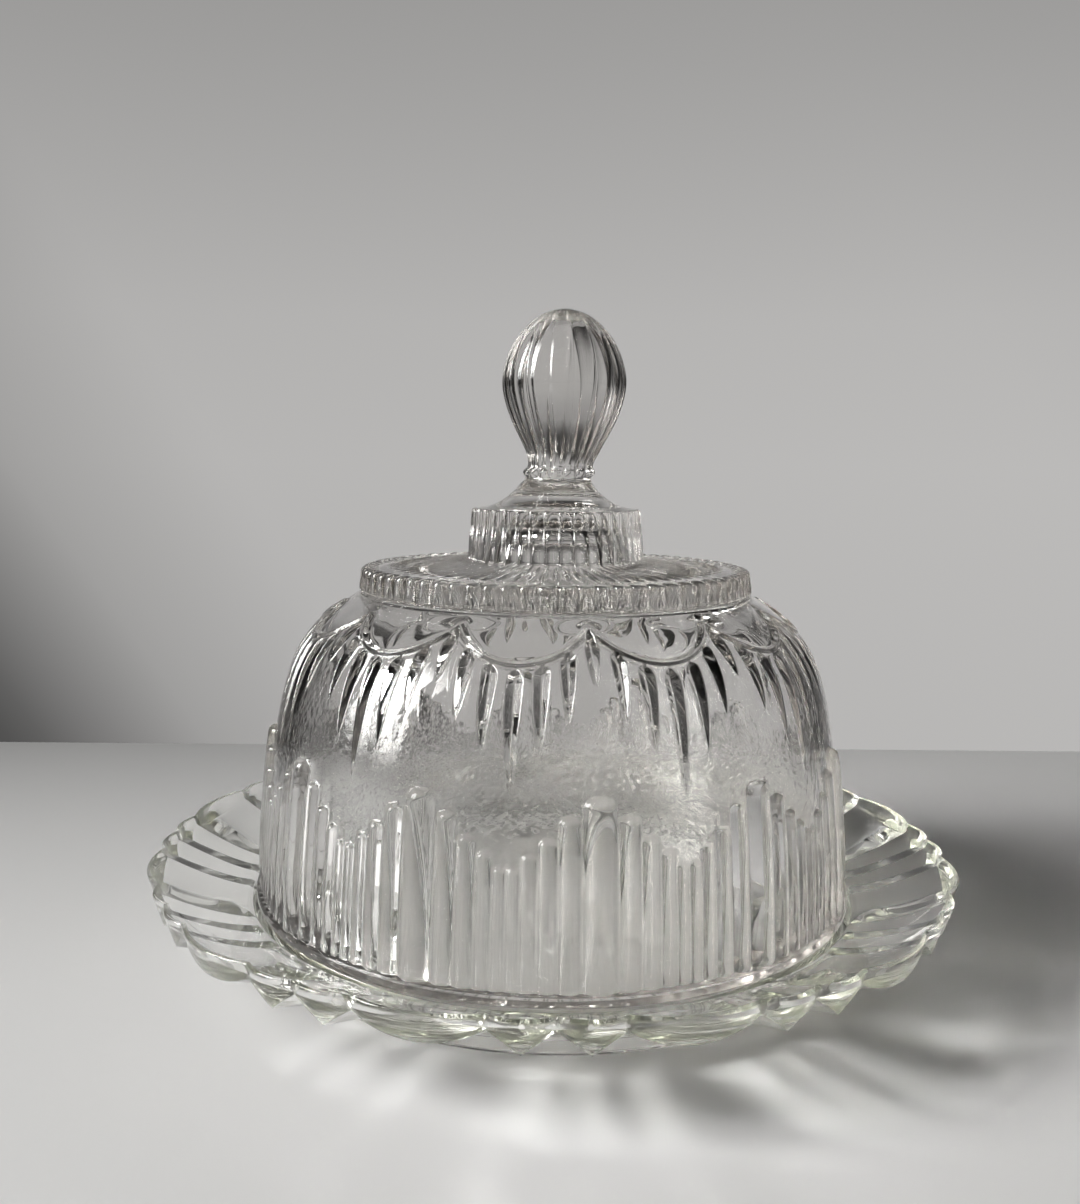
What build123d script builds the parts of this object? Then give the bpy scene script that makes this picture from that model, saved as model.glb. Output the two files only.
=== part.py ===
"""Pressed-glass covered dish: a scalloped plate on a foot ring, and the bell cover that rests on it.

Millimetres, +Z up. The origin is the centre of the circle on which the foot ring stands.
Heights inside the cover are measured from its own base, which rests at SEAT_Z.
"""

from build123d import *
from math import cos, pi, radians, sin, sqrt, tan
import os

# ---------------------------------------------------------------- driving dimensions
REPEATS = 12                    # the mould repeats every 30 degrees on both pieces
REPEAT_ANGLE = 360 / REPEATS
FRONT = -90                     # azimuth of -Y, where the patterns are counted from
COVER_TURN = 7                  # the cover rests turned this far from the plate's pattern

# plate
SEAT_Z = 12.0                   # flat land that carries the cover
SEAT_RADIUS = 74.2              # the land ends in a low wall that keeps the cover central
WELL_RADIUS = 65.0
WELL_Z = 11.0
WELL_UNDERSIDE_Z = 6.5
FOOT_RADIUS = 68.5
FOOT_INNER_RADIUS = 64.0
RIM_RADIUS = 97.6               # crown of the large lobes
RIM_NOTCH_RADIUS = 95.6         # notches between lobes
RIM_Z = 22.4
RIM_THICKNESS = 1.6             # glass left at a notch
UNDERCUT = 2.0                  # the rim face leans in by this much towards the bottom
LARGE_LOBE_ANGLE = 15.0
SMALL_LOBE_ANGLE = 7.5
LARGE_LOBE_DEPTH = 4.0
SMALL_LOBE_DEPTH = 4.8
LOBE_START = 76.0               # radius at which the lobes rise out of the underside
SMALL_LOBE_SETBACK = 0.7        # the small lobes stand out this much less than the large ones
FLARE_FOOT_RADIUS = 70.0        # where the underside of the flare leaves the foot
FLARE_FOOT = 6.4
FLARE_BELLY = (87.0, 16.2)      # radius and height of the top surface half way up the flare
FOOT_RISE = 3.0                 # height of the foot ring's upright faces
FOOT_LEAN = 0.6                 # they lean in by this much towards the table
SEAT_WALL = (1.0, 0.8)          # width and height of the low wall round the seat
WELL_STEP = 1.0                 # width of the slope from the seat down to the well

# cover shell
BASE_RADIUS = 73.0
BAND_HEIGHT = 2.7               # plain band round the base
LIP_RADIUS = 48.2               # plain lip under the gadrooned ring
LIP_HEIGHT = 72.6
CROWN_INSIDE = (0, 91.7)        # top of the hollow inside, which reaches up into the collar
BASE_BEVEL = 0.5
# outside and inside of the bell, each one smooth curve in the radius-height plane
WALL_POINTS = (
    (71.4, BAND_HEIGHT),
    (70.2, 20.0),
    (68.4, 37.0),
    (65.7, 51.0),
    (61.4, 61.5),
    (54.6, 68.6),
    (LIP_RADIUS, LIP_HEIGHT),
)
INSIDE_POINTS = (
    (67.4, 0),
    (66.1, 20),
    (64.2, 36),
    (61.4, 49.5),
    (56.8, 59.5),
    (50.0, 66.6),
    (41.0, 71.8),
    (35.0, 74.9),
    (29.0, 76.7),
    (23.0, 77.9),
    (18.4, 80.6),
    (16.9, 84.4),
    (14.6, 87.9),
    (9.6, 90.6),
    CROWN_INSIDE,
)

# rib fringe: centre angle from the tall rib, angular width, stand-out, height of the rounded top
RIBS = (
    (0.0, 5.8, 2.0, 40.6),
    (4.9, 3.4, 1.5, 36.8),
    (8.35, 3.0, 1.3, 32.6),
    (11.35, 2.5, 1.1, 29.6),
    (13.85, 2.0, 1.0, 26.9),
)
RIB_CIRCLE = 70.0               # radius at which the angular widths are measured
FOOT_STAND_OUT = 1.5            # no rib stands further out than this where it meets the band

# mitre cuts under each festoon: angle from the cusp, height of the top and of the point, width
CUTS = (
    (0, 69.6, 61.2, 2.6),
    (5, 66.6, 54.0, 2.5),
    (10, 64.2, 47.6, 2.7),
    (15, 63.6, 39.4, 2.8),
    (20, 64.2, 47.6, 2.7),
    (25, 66.6, 54.0, 2.5),
)
CUT_DEPTH = 1.6
ROOT_DEPTH = 0.4                # raised features reach this far into the glass behind them
FESTOON_BEAD = 0.65             # radius of the raised line of a festoon
FESTOON_LOW = 64.7              # height of its lowest point
FESTOON_CUSP = 70.8             # height at which neighbouring festoons meet
FESTOON_SPAN = 72               # degrees of its circle on each side, which stops short of the cusp

# ring, collar, neck and knob
RING_RADIUS = 47.8
RING_TOP = 79.0
GADROONS = 72
GADROON_BEAD = 2.05             # radius of the bars round the ring
GADROON_SPAN = (75.0, 76.9)     # heights between which a bar is straight
RING_BODY_RADIUS = 46.6
COLLAR_FACETS = 40
COLLAR_BASE_RADIUS = 21.4
COLLAR_BASE = 80.8
COLLAR_TOP_RADIUS = 20.5
COLLAR_TOP = 93.0
COLLAR_CORE_RADIUS = 19.6       # plain glass inside the facets
RAYS = 72                       # hollow flutes on top of the ring
RAY_RADIUS = 1.6
RAY_LIFT = 0.9                  # the flute's own axis runs this far above the glass
RAY_START = (28.5, 80.13)
RAY_END = (40.5, 79.0)
NECK_RADIUS = 8.3
NECK_HEIGHT = 100.2
NECK_HOLLOW = (12.0, 96.0)      # the hollow cone under the neck passes through this point
NECK_BEAD = 1.3                 # radius of the beads round the neck, one under each knob lobe
NECK_BEAD_HEIGHT = 102.1
NECK_BEAD_RING = 7.2            # radius of the circle of beads
KNOB_LOBES = 16
KNOB_OFFSET = 1.6               # the knob was pressed this far off the axis, and rests towards +X
KNOB_FLUTE = 0.06               # depth of the valleys between lobes, as a share of the radius
# height, radius over the lobes, and share of the offset
KNOB_SECTIONS = (
    (99.6, 7.8, 0.0),
    (102.4, 7.8, 0.4),
    (106.5, 8.8, 0.9),
    (113.2, 12.2, 1.0),
    (118.3, 14.2, 1.0),
    (123.4, 15.1, 1.0),
    (128.4, 14.3, 1.0),
    (133.4, 12.1, 1.0),
    (137.4, 8.8, 1.0),
    (140.0, 5.0, 1.0),
    (141.1, 1.6, 1.0),
)


def about_axis(angle):
    """The placement that turns a feature made towards +X by an angle about the axis."""
    return Location((0, 0, 0), (0, 0, angle))


# ---------------------------------------------------------------- plate

# The rim outline in plan: one large rounded lobe, then two small ones, twelve times.
def notch(angle):
    """The point of the rim outline at a notch."""
    return (RIM_NOTCH_RADIUS * cos(radians(angle)), RIM_NOTCH_RADIUS * sin(radians(angle)))


def crown(angle, radius):
    """The outermost point of a lobe."""
    return (radius * cos(radians(angle)), radius * sin(radians(angle)))


with BuildPart() as rim_blank:
    with BuildSketch():
        with BuildLine():
            for repeat in range(REPEATS):
                begin = FRONT + repeat * REPEAT_ANGLE
                edge_angle = begin
                for width, radius in (
                    (SMALL_LOBE_ANGLE, RIM_RADIUS - SMALL_LOBE_SETBACK),
                    (LARGE_LOBE_ANGLE, RIM_RADIUS),
                    (SMALL_LOBE_ANGLE, RIM_RADIUS - SMALL_LOBE_SETBACK),
                ):
                    middle = crown(edge_angle + width / 2, radius)
                    ThreePointArc(notch(edge_angle), middle, notch(edge_angle + width))
                    edge_angle += width
        make_face()
    extrude(amount=RIM_Z)

def underside(radius):
    """Height of the plain underside of the flare at a radius."""
    rise = (RIM_Z - RIM_THICKNESS - FLARE_FOOT) / (RIM_RADIUS - FLARE_FOOT_RADIUS)
    return FLARE_FOOT + (radius - FLARE_FOOT_RADIUS) * rise


def lobe(width, depth, rounded):
    """One radial lobe of the underside: shallow at LOBE_START, full depth at the rim."""
    gap = 0.995                 # keeps neighbouring lobes from touching before they are joined
    start_share = 0.25          # of the depth at the rim
    with BuildPart() as made:
        for radius, sink in ((LOBE_START, start_share * depth), (RIM_RADIUS + 1, depth)):
            half = radius * tan(radians(width / 2)) * gap
            top = underside(radius) + ROOT_DEPTH
            with BuildSketch(Plane(origin=(radius, 0, 0), x_dir=(0, 1, 0), z_dir=(1, 0, 0))):
                with BuildLine():
                    if rounded:
                        ThreePointArc((-half, top), (0, top - ROOT_DEPTH - sink), (half, top))
                    else:
                        Polyline((-half, top), (0, top - ROOT_DEPTH - sink), (half, top))
                    Line((half, top), (-half, top))
                make_face()
        loft(ruled=True)
    return made.part


large_lobe = lobe(LARGE_LOBE_ANGLE, LARGE_LOBE_DEPTH, rounded=True)
small_lobe = lobe(SMALL_LOBE_ANGLE, SMALL_LOBE_DEPTH, rounded=False)

with BuildPart() as plate:
    with BuildSketch(Plane.XZ):
        with BuildLine():
            Polyline(
                (0, WELL_UNDERSIDE_Z),
                (FOOT_INNER_RADIUS - FOOT_RISE, WELL_UNDERSIDE_Z),
                (FOOT_INNER_RADIUS, WELL_UNDERSIDE_Z - FOOT_RISE),
                (FOOT_INNER_RADIUS + FOOT_LEAN, 0),
                (FOOT_RADIUS - FOOT_LEAN, 0),
                (FOOT_RADIUS, FOOT_RISE),
                (FLARE_FOOT_RADIUS, FLARE_FOOT),
                (RIM_RADIUS, RIM_Z - RIM_THICKNESS),
                (RIM_RADIUS, RIM_Z),
            )
            seat_wall_top = (SEAT_RADIUS + SEAT_WALL[0], SEAT_Z + SEAT_WALL[1])
            ThreePointArc((RIM_RADIUS, RIM_Z), FLARE_BELLY, seat_wall_top)
            Polyline(
                seat_wall_top,
                (SEAT_RADIUS, SEAT_Z),
                (WELL_RADIUS + WELL_STEP, SEAT_Z),
                (WELL_RADIUS, WELL_Z),
                (0, WELL_Z),
                (0, WELL_UNDERSIDE_Z),
            )
        make_face()
    revolve(axis=Axis.Z)
    with PolarLocations(0, REPEATS, start_angle=FRONT + REPEAT_ANGLE / 2):
        add(large_lobe)
    with PolarLocations(0, REPEATS, start_angle=FRONT + SMALL_LOBE_ANGLE / 2):
        add(small_lobe)
    with PolarLocations(0, REPEATS, start_angle=FRONT - SMALL_LOBE_ANGLE / 2):
        add(small_lobe)
    add(rim_blank.part, mode=Mode.INTERSECT)
    with BuildSketch(Plane.XZ):
        with BuildLine():
            # outside of the leaning rim face, down to below the deepest lobe
            face_top = RIM_Z - 1.0
            face_bottom = RIM_Z - 6.0
            beyond = RIM_RADIUS + 4
            Polyline(
                (RIM_RADIUS + 0.1, face_top),
                (RIM_RADIUS + 0.1 - UNDERCUT, face_bottom),
                (beyond, face_bottom),
                (beyond, face_top),
                close=True,
            )
        make_face()
    revolve(axis=Axis.Z, mode=Mode.SUBTRACT)


# ---------------------------------------------------------------- cover
# Everything here is measured up from the base of the cover, and placed on the seat at the end.

outer_wall = Spline(*WALL_POINTS)


def wall_at(height):
    """Radius and outward normal of the bell's outside at a height above its base."""
    low, high = 0.0, 1.0
    while high - low > 1e-6:
        middle = (low + high) / 2
        if (outer_wall @ middle).Y < height:
            low = middle
        else:
            high = middle
    along = outer_wall % low
    return (outer_wall @ low).X, Vector(along.Y, -along.X)


def off_wall(height, distance):
    """The radius-height point that stands a distance outside the bell at a height."""
    radius, normal = wall_at(height)
    return Vector(radius, height) + normal * distance


def capsule(start, end, radius, both_ends=False):
    """A round bar from start to end in the radius-height plane, with a ball at its end."""
    direction = (end - start).normalized()
    side = Vector(-direction.Y, direction.X)
    tip = end + direction * radius
    tail = start - direction * radius
    with BuildPart() as made:
        with BuildSketch(Plane.XZ):
            with BuildLine():
                Line(start + side * radius, end + side * radius)
                ThreePointArc(end + side * radius, end + (direction + side) * (radius / sqrt(2)), tip)
                if both_ends:
                    Line(tip, tail)
                    bottom = start + (side - direction) * (radius / sqrt(2))
                    ThreePointArc(tail, bottom, start + side * radius)
                else:
                    Polyline(tip, start, start + side * radius)
            make_face()
        axis_origin = (start.X, 0, start.Y)
        revolve(axis=Axis(axis_origin, (direction.X, 0, direction.Y)))
    return made.part


def rib(angular_width, stand_out, top):
    """One half-round rib up the bell, with a rounded top and its root just inside the glass."""
    width = radians(angular_width) * RIB_CIRCLE
    radius = (width**2 / 4 + stand_out**2) / (2 * stand_out)
    foot = off_wall(BAND_HEIGHT, min(stand_out, FOOT_STAND_OUT) - radius) - Vector(0, 1)
    head = off_wall(top - width / 2, stand_out - radius)
    root = off_wall(top - width / 2, -ROOT_DEPTH)
    up = (head - foot).normalized()
    with BuildPart() as made:
        add(capsule(foot, head, radius))
        root_plane = Plane(origin=(root.X, 0, root.Y), x_dir=(0, 1, 0), z_dir=(up.Y, 0, -up.X))
        split(bisect_by=root_plane, keep=Keep.TOP)
    return made.part


with BuildPart() as fringe:
    for angle, angular_width, stand_out, top in RIBS:
        for side in (angle, -angle) if angle else (0,):
            add(rib(angular_width, stand_out, top).moved(about_axis(side)))


def mitre_cut(top, point, width):
    """A leaf-shaped V cut down the bell: pointed at both ends, widest near its top."""
    clearance = 0.8             # how far the cutting solid stands out of the glass
    fullnesses = ((0.14, 0.85), (0.3, 1.0), (0.65, 0.62))
    with BuildPart() as made:
        tips = [off_wall(height, clearance) for height in (top, point)]
        faces = []
        for share, fullness in fullnesses:
            height = top + (point - top) * share
            depth = CUT_DEPTH * fullness
            half = width / 2 * fullness * (depth + clearance) / depth
            radius, normal = wall_at(height)
            down = (normal.Y, 0, -normal.X)
            plane = Plane(origin=(radius, 0, height), x_dir=(0, 1, 0), z_dir=down)
            with BuildSketch(plane, mode=Mode.PRIVATE) as section:
                with BuildLine():
                    Polyline((half, clearance), (-half, clearance), (0, -depth), close=True)
                make_face()
            faces.append(section.sketch)
        ends = [Vertex(tip.X, 0, tip.Y) for tip in tips]
        loft([ends[0], *faces, ends[1]], ruled=True)
    return made.part


with BuildPart() as cuts:
    for angle, top, point, width in CUTS:
        add(mitre_cut(top, point, width).moved(about_axis(angle)))

# A festoon is an arc of a torus through two cusps and its low point.
cusp_radius, _ = wall_at(FESTOON_CUSP)
low_radius, _ = wall_at(FESTOON_LOW)
cusp_middle = Vector(cusp_radius * cos(radians(REPEAT_ANGLE / 2)), 0, FESTOON_CUSP)
cusp_side = cusp_radius * sin(radians(REPEAT_ANGLE / 2))
low_point = Vector(low_radius, 0, FESTOON_LOW)
sagitta = (low_point - cusp_middle).length
festoon_radius = (cusp_side**2 + sagitta**2) / (2 * sagitta)
hang = (low_point - cusp_middle).normalized()
festoon_centre = low_point - hang * festoon_radius
with BuildPart() as festoon:
    with BuildSketch(Plane(origin=low_point, x_dir=hang, z_dir=(0, 1, 0))):
        Circle(FESTOON_BEAD)
    revolve(axis=Axis(festoon_centre, hang.cross(Vector(0, 1, 0))), revolution_arc=FESTOON_SPAN)
    mirror(about=Plane.XZ)

with BuildPart() as gadroon:
    ends = [Vector(RING_RADIUS - GADROON_BEAD, height) for height in GADROON_SPAN]
    add(capsule(*ends, GADROON_BEAD, both_ends=True))
    split(bisect_by=Plane(origin=(RING_BODY_RADIUS - ROOT_DEPTH, 0, 0), z_dir=(1, 0, 0)))

with BuildPart() as ray:
    ends = [Vector(radius, height + RAY_LIFT) for radius, height in (RAY_START, RAY_END)]
    add(capsule(*ends, RAY_RADIUS, both_ends=True))


def lobed_outline(radius):
    """A closed outline of round lobes, for the knob."""
    valley = radius * (1 - KNOB_FLUTE)
    step = 2 * pi / KNOB_LOBES
    for lobe_number in range(KNOB_LOBES):
        begin = lobe_number * step
        ends = [(valley * cos(a), valley * sin(a)) for a in (begin, begin + step)]
        crown_angle = begin + step / 2
        ThreePointArc(ends[0], (radius * cos(crown_angle), radius * sin(crown_angle)), ends[1])


# The cover is turned when it is placed, so here the offset points the other way round.
offset_angle = radians(-FRONT - COVER_TURN)
knob_offset = Vector(cos(offset_angle), sin(offset_angle)) * KNOB_OFFSET
with BuildPart() as knob:
    for height, radius, share in KNOB_SECTIONS:
        with BuildSketch(Plane(origin=knob_offset * share + Vector(0, 0, height))):
            with BuildLine():
                lobed_outline(radius)
            make_face()
    loft()

with BuildPart() as neck_bead:
    with Locations((NECK_BEAD_RING, 0, NECK_BEAD_HEIGHT)):
        Sphere(NECK_BEAD)

with BuildPart() as collar:
    for height, radius in ((COLLAR_BASE, COLLAR_BASE_RADIUS), (COLLAR_TOP, COLLAR_TOP_RADIUS)):
        with BuildSketch(Plane.XY.offset(height)):
            RegularPolygon(radius, COLLAR_FACETS)
    loft(ruled=True)

with BuildPart() as bell:
    with BuildSketch(Plane.XZ):
        with BuildLine():
            collar_foot = (COLLAR_CORE_RADIUS, COLLAR_TOP + 0.2)
            ring_edge = (RING_BODY_RADIUS - 2.2, RING_TOP)
            ring_shoulder = (RING_BODY_RADIUS, RING_TOP - 2.4)
            Polyline(
                CROWN_INSIDE,
                (0, NECK_HEIGHT),
                (NECK_RADIUS, NECK_HEIGHT),
            )
            ThreePointArc((NECK_RADIUS, NECK_HEIGHT), NECK_HOLLOW, collar_foot)
            Polyline(
                collar_foot,
                (COLLAR_CORE_RADIUS, COLLAR_BASE),
                (RING_BODY_RADIUS - 3.6, RING_TOP - 0.4),
                ring_edge,
            )
            ThreePointArc(ring_edge, (RING_BODY_RADIUS - 0.6, RING_TOP - 0.8), ring_shoulder)
            Polyline(
                ring_shoulder,
                (RING_BODY_RADIUS, LIP_HEIGHT + 0.5),
                (LIP_RADIUS, LIP_HEIGHT),
            )
            Spline(*WALL_POINTS)
            Polyline(
                WALL_POINTS[0],
                (BASE_RADIUS, BAND_HEIGHT),
                (BASE_RADIUS, BASE_BEVEL),
                (BASE_RADIUS - BASE_BEVEL, 0),
                INSIDE_POINTS[0],
            )
            Spline(*INSIDE_POINTS, tangents=((-0.05, 1), (-1, 0)))
        make_face()
    revolve(axis=Axis.Z)
    with PolarLocations(0, REPEATS):
        add(fringe.part)
    with PolarLocations(0, GADROONS):
        add(gadroon.part)
    add(collar.part)
    add(knob.part)
    with PolarLocations(0, KNOB_LOBES):
        add(neck_bead.part)
    with PolarLocations(0, REPEATS):
        add(cuts.part, mode=Mode.SUBTRACT)
    with PolarLocations(0, RAYS):
        add(ray.part, mode=Mode.SUBTRACT)
    with PolarLocations(0, REPEATS, start_angle=REPEAT_ANGLE / 2):
        add(festoon.part)

with BuildPart() as cover:
    add(bell.part.moved(Location((0, 0, SEAT_Z), (0, 0, FRONT + COVER_TURN))))

os.makedirs("parts", exist_ok=True)
plate.part.label = "plate"
export_step(plate.part, "parts/plate.step")
cover.part.label = "cover"
export_step(cover.part, "parts/cover.step")
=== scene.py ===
import math

import bpy
import numpy as np
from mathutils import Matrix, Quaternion, Vector


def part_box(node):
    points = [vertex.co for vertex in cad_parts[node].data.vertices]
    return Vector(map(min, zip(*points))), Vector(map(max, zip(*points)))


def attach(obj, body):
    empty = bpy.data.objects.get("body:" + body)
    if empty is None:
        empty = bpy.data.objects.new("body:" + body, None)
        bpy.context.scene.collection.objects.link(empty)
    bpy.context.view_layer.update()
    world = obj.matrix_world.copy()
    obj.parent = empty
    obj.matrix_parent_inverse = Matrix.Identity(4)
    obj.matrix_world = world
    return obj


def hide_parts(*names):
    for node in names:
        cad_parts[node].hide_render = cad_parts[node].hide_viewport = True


# Covered dish of clear pressed glass: a scalloped plate, and the bell cover that rests on it.
# Lengths in the named values are millimetres; MM turns them into the frame's metres.

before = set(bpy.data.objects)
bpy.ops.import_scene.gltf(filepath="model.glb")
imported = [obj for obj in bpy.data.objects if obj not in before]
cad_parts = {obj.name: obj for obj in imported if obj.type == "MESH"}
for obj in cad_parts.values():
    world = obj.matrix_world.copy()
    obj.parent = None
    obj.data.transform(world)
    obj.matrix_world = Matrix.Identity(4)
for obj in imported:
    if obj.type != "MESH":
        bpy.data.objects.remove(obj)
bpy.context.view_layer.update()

MM = 0.001
cover_low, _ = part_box("cover")
SEAT_Z = cover_low.z / MM       # height on which the cover rests
CONTACT_GAP = 0.05              # air left between the two pieces of glass where they touch

# pattern
REPEAT = 30.0                   # degrees; both moulds repeat twelve times
PLATE_TURN = -90.0              # the plate's pattern starts at -Y
COVER_TURN = -83.0              # the cover rests turned 7 degrees from it
COLUMNS = 1440                  # points round the patterned parts of the cover
INNER_COLUMNS = 480
TOP_COLUMNS = 1440
KNOB_COLUMNS = 240
PLATE_COLUMNS = 960

# cover: heights from its own base
WALL_POINTS = (
    (71.4, 2.7), (70.2, 20.0), (68.4, 37.0), (65.7, 51.0), (61.4, 61.5), (54.6, 68.6), (48.2, 72.6),
)
INSIDE_POINTS = (
    (67.4, 0.0), (66.1, 20.0), (64.2, 36.0), (61.4, 49.5), (56.8, 59.5), (50.0, 66.6), (41.0, 71.8),
    (35.0, 74.9), (29.0, 76.7), (23.0, 77.9), (18.4, 80.6), (16.9, 84.4), (14.6, 87.9), (9.6, 90.6),
    (0.0, 91.7),
)
BASE_RADIUS = 73.0
BAND_HEIGHT = 2.7

# ribs of one half repeat: first and last angle, stand-out, height of the top
RIBS = (
    (-3.0, 3.0, 2.0, 40.6),
    (3.0, 6.75, 1.5, 36.8),
    (6.75, 10.0, 1.3, 32.6),
    (10.0, 12.75, 1.1, 29.6),
    (12.75, 15.0, 1.0, 26.9),
)
GROUND_ROUGHNESS = 0.017        # of the dimples between the ribs and the cuts
RIB_MOAT = 0.4                  # depth of the narrow groove round each rib

# mitre cuts: height of the lower point, at every 5 degrees from the cusp
CUT_PITCH = 5.0
CUT_POINTS = (61.2, 54.0, 47.6, 39.4, 47.6, 54.0)
CUT_DEPTH = 1.6
CUT_HALF_WIDTH = 1.7            # degrees
CUT_SHOULDER = 0.12             # share of its length at which a cut is widest
CUT_GAP = 1.0                   # plain glass between the festoon line and the cuts
GRID_HALF = 1.5                 # the column that follows a cut's edge stands here where there is no cut
GRID_LEAST = 0.3

FESTOON_LOW = 64.7
FESTOON_CUSP = 70.8
FESTOON_BEAD = 0.4
PANEL_DEPTH = 0.55

RING_CORE = 45.5
RING_DRAFT = 0.15               # the bars lean in by this much per millimetre of height
RING_TOP = 79.0
GADROON_PITCH = 5.0
GADROON = 2.0
GADROON_HEIGHT = 77.5           # where a gadroon stands out furthest
RING_EDGE = 44.9
RAY_PITCH = 5.0
RAY_DEPTH = 0.6
RAY_RIM = 43.6                  # the rays lie inside this radius
COLLAR_PITCH = 9.0
COLLAR_FLUTE = 0.85
NECK = ((19.6, 93.2), (15.2, 94.2), (11.6, 96.4), (9.4, 98.6), (8.3, 100.2))
KNOB_LOBES = 16
KNOB_FLUTE = 0.06
KNOB_SHIFT = 1.6                # the knob stands this far towards +X
# height, radius over the lobes, share of the shift
KNOB_SECTIONS = (
    (100.2, 8.2, 0.2), (102.4, 7.8, 0.4), (106.5, 8.8, 0.9), (113.2, 12.2, 1.0), (118.3, 14.2, 1.0),
    (123.4, 15.1, 1.0), (128.4, 14.3, 1.0), (133.4, 12.1, 1.0), (137.4, 8.8, 1.0), (140.0, 5.0, 1.0),
    (141.0, 1.8, 1.0),
)
KNOB_TOP = 141.1
NECK_BEAD_HEIGHT = 102.1
NECK_BEAD = 1.15                # half the height of a bead


# ------------------------------------------------------------------ small helpers

def ramp(value, start, end):
    """Smooth step from 0 at start to 1 at end."""
    t = np.clip((value - start) / (end - start), 0, 1)
    return t * t * (3 - 2 * t)


def smooth_curve(points, count):
    """Evenly spaced points on a natural cubic spline through the given points."""
    points = np.array(points, float)
    chord = np.linalg.norm(np.diff(points, axis=0), axis=1)
    knot = np.concatenate([[0], np.cumsum(chord)])
    size = len(knot)
    system = np.zeros((size, size))
    system[0, 0] = system[-1, -1] = 1
    right = np.zeros(points.shape)
    for i in range(1, size - 1):
        system[i, i - 1:i + 2] = chord[i - 1], 2 * (chord[i - 1] + chord[i]), chord[i]
        right[i] = 6 * ((points[i + 1] - points[i]) / chord[i] - (points[i] - points[i - 1]) / chord[i - 1])
    bend = np.linalg.solve(system, right)
    u = np.linspace(0, knot[-1], count)
    k = np.clip(np.searchsorted(knot, u, side="right") - 1, 0, size - 2)
    h = chord[k][:, None]
    a = (knot[k + 1] - u)[:, None]
    b = (u - knot[k])[:, None]
    return (
        bend[k] * a**3 / (6 * h) + bend[k + 1] * b**3 / (6 * h)
        + (points[k] / h - bend[k] * h / 6) * a + (points[k + 1] / h - bend[k + 1] * h / 6) * b
    )


def softened(points, size=0.3):
    """The same path with each corner cut by a small curve."""
    out = [np.array(points[0], float)]
    for before, corner, after in zip(points, points[1:], points[2:]):
        before, corner, after = (np.array(p, float) for p in (before, corner, after))
        into, away = corner - before, after - corner
        start = corner - into * min(size / np.linalg.norm(into), 0.4)
        end = corner + away * min(size / np.linalg.norm(away), 0.4)
        out += [start, (start + 2 * corner + end) / 4, end]
    out.append(np.array(points[-1], float))
    return out


class Skin:
    """Rings of points round the axis, each joined to the next, that close into one solid."""

    def __init__(self, turn, base):
        self.turn, self.base = math.radians(turn), base
        self.rings, self.masks = [], []

    def add(self, radius, height, angle, mask=0.0, shift=0.0):
        """One ring, or one per row of a two-dimensional radius; angles in degrees."""
        radius, height, angle, mask = np.broadcast_arrays(radius, height, angle, mask)
        for r, z, a, m in zip(*(np.atleast_2d(v) for v in (radius, height, angle, mask))):
            a = np.radians(a) + self.turn
            self.rings.append(np.stack([r * np.cos(a) + shift, r * np.sin(a), z + self.base], 1))
            self.masks.append(m)

    def plain(self, points, columns):
        """Round rings through radius-height points."""
        for radius, height in points:
            self.add(radius, height, columns_of(columns))

    def pole(self, height, shift=0.0):
        self.rings.append(np.array([[shift, 0, height + self.base]]))
        self.masks.append(np.zeros(1))

    def mesh(self, name):
        sizes = [len(r) for r in self.rings]
        starts = np.cumsum([0] + sizes[:-1])
        blocks = []
        for a, b, n, m in zip(starts, starts[1:], sizes, sizes[1:]):
            if n == 1:
                j = np.arange(m)
                blocks.append(np.stack([a + 0 * j, b + (j + 1) % m, b + j], 1))
            elif m == 1:
                j = np.arange(n)
                blocks.append(np.stack([a + j, a + (j + 1) % n, b + 0 * j], 1))
            elif n >= m:
                q = n // m
                j = np.arange(m)
                fine = [a + (j * q + i) % n for i in range(q + 1)]
                blocks.append(np.stack([*fine, b + (j + 1) % m, b + j], 1))
            else:
                q = m // n
                j = np.arange(n)
                fine = [b + (j * q + i) % m for i in range(q, -1, -1)]
                blocks.append(np.stack([a + j, a + (j + 1) % n, *fine], 1))
        loops = np.concatenate([b.ravel() for b in blocks])
        lengths = np.concatenate([np.full(len(b), b.shape[1]) for b in blocks])
        mesh = bpy.data.meshes.new(name)
        points = np.concatenate(self.rings) * MM
        mesh.vertices.add(len(points))
        mesh.vertices.foreach_set("co", points.astype(np.float32).ravel())
        mesh.loops.add(len(loops))
        mesh.loops.foreach_set("vertex_index", loops.astype(np.int32))
        mesh.polygons.add(len(lengths))
        loop_starts = np.concatenate([[0], np.cumsum(lengths)[:-1]])
        mesh.polygons.foreach_set("loop_start", loop_starts.astype(np.int32))
        mesh.update(calc_edges=True)
        mesh.polygons.foreach_set("use_smooth", np.ones(len(lengths), bool))
        layer = mesh.attributes.new("ground", "FLOAT", "POINT")
        layer.data.foreach_set("value", np.concatenate(self.masks).astype(np.float32))
        if mesh.validate():
            raise ValueError(f"{name} has faults in its mesh")
        made = bpy.data.objects.new(name, mesh)
        bpy.context.scene.collection.objects.link(made)
        return made


def columns_of(count):
    return np.arange(count) * 360.0 / count


def within(angle, pitch):
    """Angle from the middle of its own pitch, from -1 to 1 at the borders."""
    return ((angle + pitch / 2) % pitch - pitch / 2) / (pitch / 2)


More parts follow.
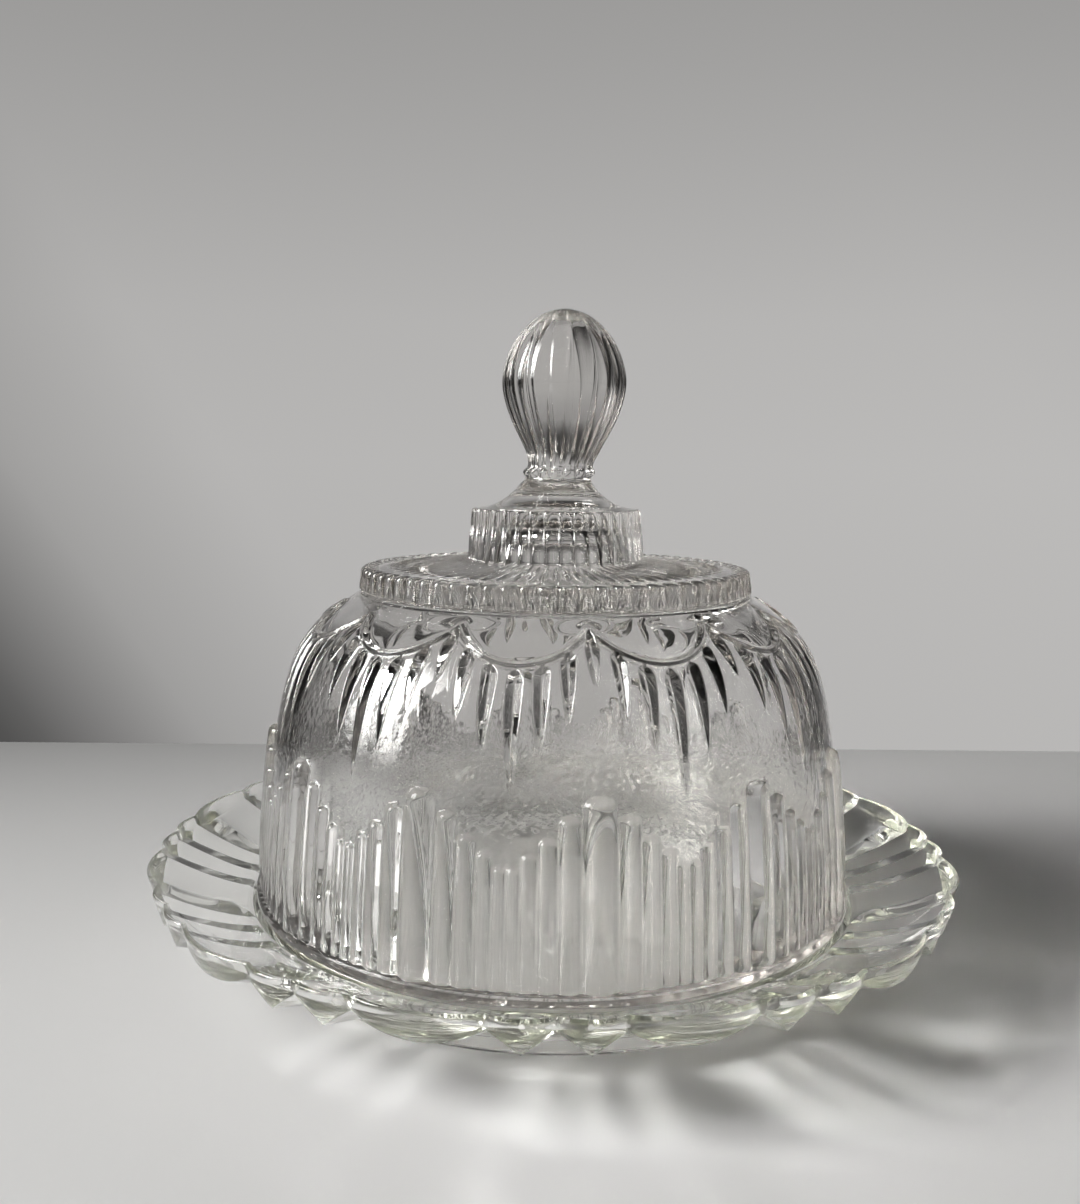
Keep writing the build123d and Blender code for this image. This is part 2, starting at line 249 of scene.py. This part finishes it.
def ripple(angle, along, amount, seed, least=2, most=9, reach=40.0):
    """Gentle unevenness left by the mould and the fire polish."""
    random = np.random.default_rng(seed)
    total = np.zeros(np.broadcast(angle, along).shape)
    waves = 14
    for _ in range(waves):
        round_waves = random.integers(least, most)
        length = random.uniform(0.4, 1.6) * reach
        phase = random.uniform(0, 2 * np.pi, 2)
        round_wave = np.sin(np.radians(angle) * round_waves + phase[0])
        total += round_wave * np.sin(along * 2 * np.pi / length + phase[1])
    return amount * total / math.sqrt(waves)


# ------------------------------------------------------------------ cover

wall_fine = smooth_curve(WALL_POINTS, 4000)
wall_step = np.linalg.norm(np.diff(wall_fine, axis=0), axis=1)
wall_s = np.concatenate([[0], np.cumsum(wall_step)])
wall_along = np.gradient(wall_fine, axis=0)
wall_along /= np.linalg.norm(wall_along, axis=1)[:, None]
WALL_LENGTH = wall_s[-1]


def on_wall(s, stand_out):
    """Radius and height of points at distance s up the bell, moved out along the normal."""
    r, z = (np.interp(s, wall_s, wall_fine[:, i]) for i in (0, 1))
    dr, dz = (np.interp(s, wall_s, wall_along[:, i]) for i in (0, 1))
    return r + dz * stand_out, z - dr * stand_out


def s_of(height):
    """Distance up the bell at a height."""
    return np.interp(height, wall_fine[:, 1], wall_s)


def height_of(s):
    return np.interp(s, wall_s, wall_fine[:, 1])


festoon_low = float(s_of(FESTOON_LOW))
festoon_cusp = float(s_of(FESTOON_CUSP))
cusp_radius = float(np.interp(FESTOON_CUSP, wall_fine[:, 1], wall_fine[:, 0]))
half_chord = cusp_radius * math.radians(REPEAT / 2)
sagitta = festoon_cusp - festoon_low
festoon_radius = (half_chord**2 + sagitta**2) / (2 * sagitta)


def festoon_line(angle):
    """Distance up the bell of the festoon line, and its slope, at an angle from a cusp."""
    from_middle = np.abs((angle % REPEAT) - REPEAT / 2)
    s = np.full(np.shape(from_middle), festoon_low)
    for _ in range(6):
        radius, _ = on_wall(s, 0)
        x = np.minimum(np.radians(from_middle) * radius, 0.97 * festoon_radius)
        s = festoon_low + festoon_radius - np.sqrt(festoon_radius**2 - x**2)
    slope = x / np.sqrt(festoon_radius**2 - x**2)
    return np.minimum(s, festoon_cusp + 0.3), slope


def leaf(t):
    """Width of a cut along its length, as a share of its greatest width."""
    rise = np.sin(np.clip(t / CUT_SHOULDER, 0, 1) * np.pi / 2) ** 0.7
    fall = 1 - np.clip((t - CUT_SHOULDER) / (1 - CUT_SHOULDER), 0, 1) ** 1.6
    return np.where((t > 0) & (t < 1), rise * fall, 0.0)


def rib_relief(angle, height):
    """Stand-out of the half-round ribs, each with a rounded head."""
    a = np.abs((angle + REPEAT / 2) % REPEAT - REPEAT / 2)
    relief = np.zeros(np.broadcast(a, height).shape)
    for first, last, stand_out, top in RIBS:
        out = stand_out + RIB_MOAT
        half = math.radians((last - first) / 2) * 70.5
        curve = (half**2 + out**2) / (2 * out)
        x = (a - (first + last) / 2) / ((last - first) / 2)
        y = np.clip((height - (top - half)) / half, 0, 2)
        reach = np.sqrt(x**2 + y**5)
        bar = np.sqrt(np.maximum(curve**2 - (np.minimum(reach, 1) * half)**2, 0)) - (curve - out)
        relief = np.where(reach < 1, bar - RIB_MOAT, relief)
    foot = 0.74 + 0.26 * ramp(height, BAND_HEIGHT, 14.0)
    return np.where(relief > 0, relief * foot, relief)


def dome_rows():
    """Distance up the bell for every row and column of its outside, lowest row first."""
    angle = columns_of(COLUMNS)
    line, slope = festoon_line(angle)
    stretch = np.minimum(np.sqrt(1 + slope**2), (WALL_LENGTH - line) / 2.3)
    level = [*s_of(np.array([2.75, 2.95, 3.3, 4.0, 5.5, 7.5, 10, 12.5, 15, 17.5, 20, 22, 23.5]))]
    start, top = level[-1], float(s_of(57.0))
    level += [*np.linspace(start, top, int((top - start) / 0.36))[1:]]
    rows = [np.full(COLUMNS, s) for s in level]
    below = line - 1.5 * stretch
    for share in np.linspace(0, 1, 34)[1:]:
        rows.append(top + (below - top) * share)
    offsets = (-1.15, -0.85, -0.6, -0.4, -0.2, 0.0, 0.2, 0.4, 0.6, 0.85, 1.1, 1.5)
    for offset in offsets:
        rows.append(line + offset * stretch)
    last = rows[-1]
    for share in (0.08, 0.18, 0.3, 0.42, 0.55, 0.68, 0.8, 0.9, 0.96, 1.0):
        rows.append(last + (WALL_LENGTH - last) * share)
    return angle, np.array(rows), line, stretch


def cuts(angle, rows, line):
    """Angles moved so that columns follow the edges of the cuts, and the cuts' relief."""
    place = np.round(angle / CUT_PITCH).astype(int)
    centre = (place * round(CUT_PITCH * COLUMNS / 360)) % COLUMNS
    point = s_of(np.array(CUT_POINTS))[place % len(CUT_POINTS)]
    length = line[centre] - CUT_GAP - point
    t = (line[centre] - CUT_GAP - rows[:, centre]) / length
    share = leaf(t)
    half = np.maximum(CUT_HALF_WIDTH * share, 1e-3)
    beyond = np.clip((t - 1) * length / 5.0, 0, 1)
    grid_half = np.where(t < CUT_SHOULDER, np.maximum(half, GRID_HALF), np.maximum(half, GRID_LEAST))
    grid_half = np.where(t > 1, GRID_LEAST + (GRID_HALF - GRID_LEAST) * beyond, grid_half)
    v = (angle + CUT_PITCH / 2) % CUT_PITCH - CUT_PITCH / 2
    side, size = np.sign(v), np.abs(v)
    half_pitch = CUT_PITCH / 2
    inner = size * grid_half / GRID_HALF
    outer = grid_half + (size - GRID_HALF) * (half_pitch - grid_half) / (half_pitch - GRID_HALF)
    moved = side * np.where(size <= GRID_HALF, inner, outer)
    depth = CUT_DEPTH * share**0.9 * np.clip(1 - np.abs(moved) / half, 0, 1)
    return angle - v + moved, -depth


def ground_noise(shape, strength):
    """The hammered ground: shallow dimples about three quarters of a millimetre apart."""
    random = np.random.default_rng(11)
    noise = random.normal(size=shape)
    for axis, turns in ((0, 1), (1, 1)):
        for _ in range(turns):
            noise = 0.25 * np.roll(noise, 1, axis) + 0.5 * noise + 0.25 * np.roll(noise, -1, axis)
    return noise / noise.std() * strength


def festoon_relief(rows, line, stretch):
    """The raised line, the grooves beside it, and the shallow lens above it."""
    d = (rows - line) / stretch
    bead = FESTOON_BEAD * np.exp(-(d / 0.36)**2)
    groove = -0.22 * np.exp(-((d + 0.85) / 0.25)**2)
    inside = (rows - line) / (WALL_LENGTH - line)
    panel = -PANEL_DEPTH * ramp(d, 0.3, 1.3) * (1 - ramp(inside, 0.15, 1.0))
    return bead + groove + panel


cover_skin = Skin(COVER_TURN, SEAT_Z + CONTACT_GAP)

# inside of the bell, from the crown down to the base
inside = smooth_curve(INSIDE_POINTS[::-1], 64)
inner_angle = columns_of(INNER_COLUMNS)
cover_skin.pole(INSIDE_POINTS[-1][1])
inside_s = np.linspace(0, 110, len(inside))
for (radius, height), s in zip(inside[1:], inside_s[1:]):
    settle = min(radius / 30, 1) * min(height / 6, 1)
    wave = ripple(inner_angle, s, 0.09 * settle, 3) + ripple(inner_angle, s, 0.035 * settle, 5, 14, 40, 90.0)
    cover_skin.add(radius + wave, height, inner_angle)

# plain band round the base
band = softened(
    [
        (67.45, 0.0), (68.2, 0.0), (BASE_RADIUS - 0.6, 0.0), (BASE_RADIUS, 0.6),
        (BASE_RADIUS, BAND_HEIGHT), (72.2, BAND_HEIGHT),
    ],
    0.25,
)
cover_skin.plain(band[1:-1], COLUMNS)

# patterned outside of the bell
angle, rows, line, stretch = dome_rows()
moved, cut_depth = cuts(angle, rows, line)
heights = height_of(rows)
ribs = rib_relief(moved, heights)
ground = ramp(heights, 22, 26) * (1 - ramp(heights, 46, 62)) * (ribs == 0) * (cut_depth > -0.02)
ground *= 1 - ramp(rows, line - 6.0, line - 2.0)
dimples = ground_noise(rows.shape, GROUND_ROUGHNESS) * ground
relief = ribs + cut_depth + festoon_relief(rows, line, stretch) + dimples
relief += ripple(angle, rows, 0.05, 8, 2, 30, 30.0) * (1 - ground) * 0.5
bell_radius, bell_height = on_wall(rows, relief)
cover_skin.add(bell_radius, bell_height, moved, ground)

# gadrooned ring over a plain lip
bar = np.sqrt(1 - (0.985 * within(columns_of(COLUMNS), GADROON_PITCH))**2)
cover_skin.plain(softened([(48.2, 72.6), (47.9, 72.95), (46.9, 73.0), (46.6, 73.15)], 0.15)[1:], COLUMNS)
for height in (73.3, 73.45, 73.7, 74.1, 74.8, 75.8, GADROON_HEIGHT):
    squareness = (GADROON_HEIGHT - height) / (GADROON_HEIGHT - 73.2)
    draft = RING_DRAFT * (GADROON_HEIGHT - height)
    radius = RING_CORE + draft + GADROON * bar * (1 - squareness**12) ** 0.5
    cover_skin.add(radius, height, columns_of(COLUMNS))
for turn in (12, 24, 36, 46, 55, 63, 71, 80, 90):
    out = math.cos(math.radians(turn)) ** 0.7
    up = math.sin(math.radians(turn)) ** 0.7
    radius = RING_EDGE + (RING_CORE + GADROON * bar - RING_EDGE) * out
    height = GADROON_HEIGHT + (RING_TOP + 0.3 - GADROON_HEIGHT) * (0.6 + 0.4 * bar) * up
    cover_skin.add(radius, height, columns_of(COLUMNS))

# hollow rays on top of the ring
top_angle = columns_of(TOP_COLUMNS)
ray = within(top_angle, RAY_PITCH) / 0.97
for radius in (
    RAY_RIM, 42.6, 41.8, 41.3, 40.9, 40.5, 40.0, 39.4, 38.6, 37.6, 36.2, 34.0, 31.0, 28.0, 25.5, 23.6,
    22.4, 21.7,
):
    surface = RING_TOP - 0.25 + (RAY_RIM - radius) * 1.95 / 22
    reach = np.sqrt(ray**2 + np.clip((radius - 36.4) / 4.8, 0, 2) ** 2)
    shallow = 0.45 + 0.55 * ramp(radius, 22, 34)
    cover_skin.add(radius, surface - RAY_DEPTH * shallow * np.clip(1 - reach**2, 0, 1), top_angle)

# collar with hollow faces, which step in slightly above the middle
hollow = COLLAR_FLUTE * (1 - np.abs(within(top_angle, COLLAR_PITCH)) ** 2.4)
for radius, height, sharp in (
    (21.55, 80.85, 0.6), (21.42, 81.0, 1), (21.38, 81.3, 1), (21.25, 84.0, 1), (21.12, 86.8, 1),
    (21.05, 87.05, 1), (20.9, 87.25, 1), (20.75, 89.5, 1), (20.55, 92.2, 1), (20.5, 92.6, 1),
    (20.3, 92.95, 0.8), (19.95, 93.15, 0.4),
):
    cover_skin.add(radius + 0.15 - hollow * sharp, height, top_angle)

# hollow cone under the neck
cover_skin.plain(smooth_curve(NECK, 12)[:-1], KNOB_COLUMNS)

# lobed knob, with a row of beads round its foot
knob_angle = columns_of(KNOB_COLUMNS)
lobe = within(knob_angle + 360 / KNOB_LOBES / 2, 360 / KNOB_LOBES)
sections = np.array(KNOB_SECTIONS)
knob_line = smooth_curve(sections[:, [1, 0]], 64)
for radius, height in knob_line:
    shift = KNOB_SHIFT * np.interp(height, sections[:, 0], sections[:, 2])
    flute = KNOB_FLUTE * ramp(height, 101.0, 105.0) * (1.3 - 0.9 * ramp(height, 106, 138))
    beads = np.sqrt(np.clip(1 - lobe**2 - ((height - NECK_BEAD_HEIGHT) / NECK_BEAD)**2, 0, 1))
    cover_skin.add(radius * (1 - flute * np.abs(lobe)**2.5) + beads, height, knob_angle, shift=shift)
cover_skin.pole(KNOB_TOP, KNOB_SHIFT)

cover = cover_skin.mesh("cover_bell")
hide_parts("cover")
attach(cover, "cover")

# ------------------------------------------------------------------ plate

RIM_RADIUS = 97.6
RIM_NOTCH = 95.6
RIM_Z = 22.4
RIM_THICKNESS = 1.6
SMALL_SETBACK = 0.7
UNDERCUT = 2.0
UNDERSIDE_Z = 6.5
LAND_Z = 12.0                   # the flat that carries the cover
WELL_Z = 11.0
LOBES = ((15.0, 15.0, 4.0, True), (3.75, 7.5, 4.8, False), (26.25, 7.5, 4.8, False))
FLARE = ((70.0, 6.4), (RIM_RADIUS, RIM_Z - RIM_THICKNESS))
TOP_FLARE = ((75.2, 12.8), (80.0, 13.75), (87.0, 16.2), (93.0, 19.2), (97.6, 22.4))

plate_angle = columns_of(PLATE_COLUMNS)
local = plate_angle % REPEAT
outline = np.full(PLATE_COLUMNS, RIM_NOTCH)
hang = np.zeros(PLATE_COLUMNS)
for centre, width, depth, rounded in LOBES:
    x = np.clip(np.abs(local - centre) / (width / 2), 0, 1)
    crown = RIM_RADIUS if rounded else RIM_RADIUS - SMALL_SETBACK
    outline = np.maximum(outline, RIM_NOTCH + (crown - RIM_NOTCH) * (1 - x**2))
    profile = np.sqrt(1 - (0.93 * x) ** 2) - math.sqrt(1 - 0.93**2) * x**2 if rounded else 1 - x
    hang = np.maximum(hang, depth * profile)

plate_skin = Skin(PLATE_TURN, 0.0)
plate_skin.pole(UNDERSIDE_Z)
underneath = softened(
    [
        (12.0, UNDERSIDE_Z), (61.0, UNDERSIDE_Z), (64.0, 3.5), (64.6, 0.0), (67.9, 0.0), (68.5, 3.0),
        (70.0, 6.4), (72.0, 7.44),
    ],
    0.5,
)
plate_skin.plain([(r, UNDERSIDE_Z) for r in (6.0, 12.0, 24.0, 36.0, 48.0, 56.0)], INNER_COLUMNS // 2)
plate_skin.plain(underneath[1:-1], INNER_COLUMNS)

(flare_r, flare_z), (rim_r, rim_z) = FLARE
foot_of_face = outline - 0.3 - UNDERCUT * np.clip(hang / 5, 0, 1)
for share in np.linspace(0.07, 1, 30):
    radius = flare_r + (foot_of_face - flare_r) * share
    plain = flare_z + (radius - flare_r) * (rim_z - flare_z) / (rim_r - flare_r)
    sink = ramp(radius, 73.5, 79.0) * (0.25 + 0.75 * (radius - 76) / 21.6)
    plate_skin.add(radius, plain - hang * np.clip(sink, 0, 1), plate_angle)
edge_z = plain - hang
for share in (0.06, 0.16, 0.4, 0.7, 0.9, 1.0):
    radius = foot_of_face + (outline - foot_of_face) * share
    plate_skin.add(radius, edge_z + (RIM_Z - 1.15 - edge_z) * share, plate_angle)
for inset, drop in ((-0.02, 0.9), (-0.05, 0.6), (0.05, 0.25), (0.35, 0.04), (0.8, 0.12)):
    plate_skin.add(outline - inset, RIM_Z - drop, plate_angle)

top_curve = smooth_curve(TOP_FLARE, 200)
for share in np.linspace(0.04, 1, 22):
    radius = (outline - 0.8) + (TOP_FLARE[0][0] - outline + 0.8) * share
    height = np.interp(radius, top_curve[:, 0], top_curve[:, 1])
    fade = ramp(share, 0.1, 0.4) * (1 - ramp(share, 0.8, 1))
    height = height + ripple(plate_angle, radius, 0.05, 21, 3, 24, 30.0) * fade
    plate_skin.add(radius, height, plate_angle)
seat = softened([(75.2, 12.8), (74.2, LAND_Z), (66.0, LAND_Z), (65.0, WELL_Z), (60.0, WELL_Z)], 0.25)
plate_skin.plain(seat[1:], INNER_COLUMNS)
plate_skin.plain([(r, WELL_Z) for r in (48.0, 36.0, 24.0, 12.0, 6.0)], INNER_COLUMNS // 2)
plate_skin.pole(WELL_Z)

plate = plate_skin.mesh("plate_dish")
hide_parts("plate")
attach(plate, "plate")

# ------------------------------------------------------------------ glass


def glass(name, clear, film, absorbed, density, grain):
    """Clear pressed glass: fine unevenness, a faint film, and a tint that grows with thickness."""
    material = bpy.data.materials.new(name)
    material.use_nodes = True
    nodes, links = material.node_tree.nodes, material.node_tree.links
    nodes.clear()
    output = nodes.new("ShaderNodeOutputMaterial")
    shader = nodes.new("ShaderNodeBsdfPrincipled")
    shader.inputs["Transmission Weight"].default_value = 1.0
    shader.inputs["Roughness"].default_value = 0.01
    shader.inputs["IOR"].default_value = 1.52
    links.new(shader.outputs[0], output.inputs["Surface"])
    place = nodes.new("ShaderNodeTexCoord")
    cloud = nodes.new("ShaderNodeTexNoise")
    cloud.inputs["Scale"].default_value = 26.0
    cloud.inputs["Detail"].default_value = 5.0
    links.new(place.outputs["Object"], cloud.inputs["Vector"])
    tone = nodes.new("ShaderNodeValToRGB")
    tone.color_ramp.elements[0].position = 0.45
    tone.color_ramp.elements[0].color = (*clear, 1)
    tone.color_ramp.elements[1].position = 0.75
    tone.color_ramp.elements[1].color = (*film, 1)
    links.new(cloud.outputs["Fac"], tone.inputs["Fac"])
    links.new(tone.outputs["Color"], shader.inputs["Base Color"])
    # long soft waves everywhere, and the fine grain of the hammered ground where the mesh marks it
    waves = nodes.new("ShaderNodeTexNoise")
    waves.inputs["Scale"].default_value = 90.0
    waves.inputs["Detail"].default_value = 2.0
    links.new(place.outputs["Object"], waves.inputs["Vector"])
    soft = nodes.new("ShaderNodeBump")
    soft.inputs["Strength"].default_value = 0.25
    soft.inputs["Distance"].default_value = 0.0002
    links.new(waves.outputs["Fac"], soft.inputs["Height"])
    dimples = nodes.new("ShaderNodeTexNoise")
    dimples.inputs["Scale"].default_value = 1900.0
    dimples.inputs["Detail"].default_value = 2.0
    links.new(place.outputs["Object"], dimples.inputs["Vector"])
    where = nodes.new("ShaderNodeAttribute")
    where.attribute_name = "ground"
    masked = nodes.new("ShaderNodeMath")
    masked.operation = "MULTIPLY"
    links.new(dimples.outputs["Fac"], masked.inputs[0])
    links.new(where.outputs["Fac"], masked.inputs[1])
    fine = nodes.new("ShaderNodeBump")
    fine.inputs["Strength"].default_value = grain
    fine.inputs["Distance"].default_value = 0.0002
    links.new(masked.outputs[0], fine.inputs["Height"])
    links.new(soft.outputs["Normal"], fine.inputs["Normal"])
    links.new(fine.outputs["Normal"], shader.inputs["Normal"])
    body = nodes.new("ShaderNodeVolumeAbsorption")
    body.inputs["Color"].default_value = (*absorbed, 1)
    body.inputs["Density"].default_value = density
    links.new(body.outputs[0], output.inputs["Volume"])
    return material


cover.data.materials.append(
    glass("cover_glass", (0.975, 0.972, 0.967), (0.945, 0.94, 0.93), (0.89, 0.878, 0.865), 42.0, 0.15)
)
plate.data.materials.append(
    glass("plate_glass", (1.0, 1.0, 0.995), (0.975, 0.975, 0.955), (0.84, 0.87, 0.68), 7.0, 0.0)
)

# ------------------------------------------------------------------ stage

TABLE_BACK = 0.178              # the table ends this far behind the dish's axis
TABLE_SIDE = 1.6
table_mesh = bpy.data.meshes.new("table")
table_mesh.from_pydata(
    [
        (-TABLE_SIDE, -TABLE_SIDE, 0), (TABLE_SIDE, -TABLE_SIDE, 0),
        (TABLE_SIDE, TABLE_BACK + 0.014, 0), (-TABLE_SIDE, TABLE_BACK - 0.014, 0),
    ],
    [],
    [(0, 1, 2, 3)],
)
table = bpy.data.objects.new("table", table_mesh)
table.location.z = -0.0002
bpy.context.scene.collection.objects.link(table)
paint = bpy.data.materials.new("table_paint")
paint.use_nodes = True
table_shader = paint.node_tree.nodes["Principled BSDF"]
table_shader.inputs["Base Color"].default_value = (0.68, 0.678, 0.675, 1)
table_shader.inputs["Roughness"].default_value = 0.6
table_shader.inputs["Specular IOR Level"].default_value = 0.2
table_mesh.materials.append(paint)


def area_light(name, place, target, width, height, power, colour, spread):
    """A soft rectangular light that faces its target."""
    data = bpy.data.lights.new(name, "AREA")
    data.shape = "RECTANGLE"
    data.size, data.size_y = width, height
    data.energy = power
    data.color = colour
    data.spread = math.radians(spread)
    lamp = bpy.data.objects.new(name, data)
    lamp.location = place
    lamp.rotation_euler = (Vector(target) - Vector(place)).to_track_quat("-Z", "Y").to_euler()
    bpy.context.scene.collection.objects.link(lamp)


WINDOW = Vector((-1.1, -0.27, 0.62))
across = WINDOW.cross(Vector((0, 0, 1))).normalized()
AIM = (0.1, -0.1, 0.0)
PANE_OFFSET = 0.14
PANE_SIZE = (0.24, 1.3)
PANE_POWER = 2.3
PANE_SPREAD = 50.0              # degrees
for side in (-1, 1):
    pane = WINDOW + across * side * PANE_OFFSET
    name = "window_left" if side < 0 else "window_right"
    area_light(name, pane, AIM, *PANE_SIZE, PANE_POWER, (1.0, 0.995, 0.98), PANE_SPREAD)

# The room is a background with no objects in it: pale behind the dish, dark to the left of that and
# on the near side, with a dim stretch between, and darker overhead. Grey levels against azimuth and height.
world = bpy.data.worlds.new("room")
bpy.context.scene.world = world
world.use_nodes = True
room_nodes, room_links = world.node_tree.nodes, world.node_tree.links
room_nodes.clear()


def world_math(operation, first, second=0.0, third=0.0):
    """A math node on numbers or on other nodes' outputs."""
    node = room_nodes.new("ShaderNodeMath")
    node.operation = operation
    for socket, value in zip(node.inputs, (first, second, third)):
        if isinstance(value, (int, float)):
            socket.default_value = value
        else:
            room_links.new(value, socket)
    return node.outputs[0]


def world_ramp(value, stops):
    """Grey levels along a value from 0 to 1."""
    node = room_nodes.new("ShaderNodeValToRGB")
    elements = node.color_ramp.elements
    while len(elements) < len(stops):
        elements.new(0.5)
    for element, (position, level) in zip(elements, stops):
        element.position = position
        element.color = (level, level, level, 1)
    room_links.new(value, node.inputs["Fac"])
    return node.outputs["Color"]


COLOUR_A, COLOUR_B, COLOUR_OUT = 6, 7, 2    # a Mix node's colour sockets, which share names with others


def world_product(first, second):
    """The product of a colour output and another one, or a fixed colour."""
    node = room_nodes.new("ShaderNodeMix")
    node.data_type = "RGBA"
    node.blend_type = "MULTIPLY"
    node.inputs["Factor"].default_value = 1.0
    room_links.new(first, node.inputs[COLOUR_A])
    if isinstance(second, tuple):
        node.inputs[COLOUR_B].default_value = second
    else:
        room_links.new(second, node.inputs[COLOUR_B])
    return node.outputs[COLOUR_OUT]


room_out = room_nodes.new("ShaderNodeOutputWorld")
sky = room_nodes.new("ShaderNodeBackground")
room_links.new(sky.outputs[0], room_out.inputs["Surface"])
way = room_nodes.new("ShaderNodeTexCoord")
split = room_nodes.new("ShaderNodeSeparateXYZ")
room_links.new(way.outputs["Generated"], split.inputs[0])
azimuth = world_math("ARCTAN2", split.outputs["X"], split.outputs["Y"])
leaning = world_math("MULTIPLY_ADD", split.outputs["Z"], 0.64, azimuth)
full_turn = world_math("MULTIPLY_ADD", leaning, 1 / (2 * math.pi), 0.5)


def turn_of(degrees):
    return degrees / 360 + 0.5


round_room = world_ramp(full_turn, (
    (0.0, 0.02), (turn_of(-130), 0.02), (turn_of(-115), 0.2), (turn_of(-85), 0.2), (turn_of(-75), 0.01),
    (turn_of(-40), 0.01), (turn_of(-33), 0.1), (turn_of(-25), 0.36), (turn_of(-16), 0.47), (turn_of(25), 0.5),
    (turn_of(60), 0.45), (turn_of(100), 0.02), (1.0, 0.02),
))
up_room = world_ramp(
    world_math("MULTIPLY_ADD", split.outputs["Z"], 0.5, 0.5),
    ((0.0, 0.9), (0.5, 1.0), (0.56, 0.95), (0.66, 0.72), (0.72, 0.6), (0.78, 0.12), (1.0, 0.08)),
)
right_end = world_ramp(
    world_math("MULTIPLY_ADD", azimuth, 1 / (2 * math.pi), 0.5),
    ((0.0, 1.0), (turn_of(28), 1.0), (turn_of(33), 0.02), (turn_of(150), 0.02), (1.0, 1.0)),
)
shade = world_product(round_room, up_room)
ended = world_product(shade, right_end)
warm = world_product(ended, (1.0, 0.985, 0.97, 1))
room_links.new(warm, sky.inputs["Color"])
sky.inputs["Strength"].default_value = 1.0
bpy.context.scene.view_settings.view_transform = "Standard"
# Thick glass needs long light paths, or its inner reflections end in black.
paths = bpy.context.scene.cycles
paths.max_bounces = 32
paths.transmission_bounces = 32
paths.glossy_bounces = 24
paths.diffuse_bounces = 4
paths.sample_clamp_indirect = 0.0
paths.blur_glossy = 0.0

# ------------------------------------------------------------------ camera

camera_data = bpy.data.cameras.new("camera")
camera_data.sensor_width = 36.0
camera_data.lens = 33.8
camera_data.shift_y = -0.0032
camera = bpy.data.objects.new("camera", camera_data)
camera.location = (-0.0037, -0.2786, 0.11634)
PITCH, ROLL = 6.83, 0.64
camera.rotation_mode = "QUATERNION"
look = Vector((0, math.cos(math.radians(PITCH)), -math.sin(math.radians(PITCH))))
upright = look.to_track_quat("-Z", "Y")
camera.rotation_quaternion = upright @ Quaternion((0, 0, 1), math.radians(ROLL))
bpy.context.scene.collection.objects.link(camera)
bpy.context.scene.camera = camera
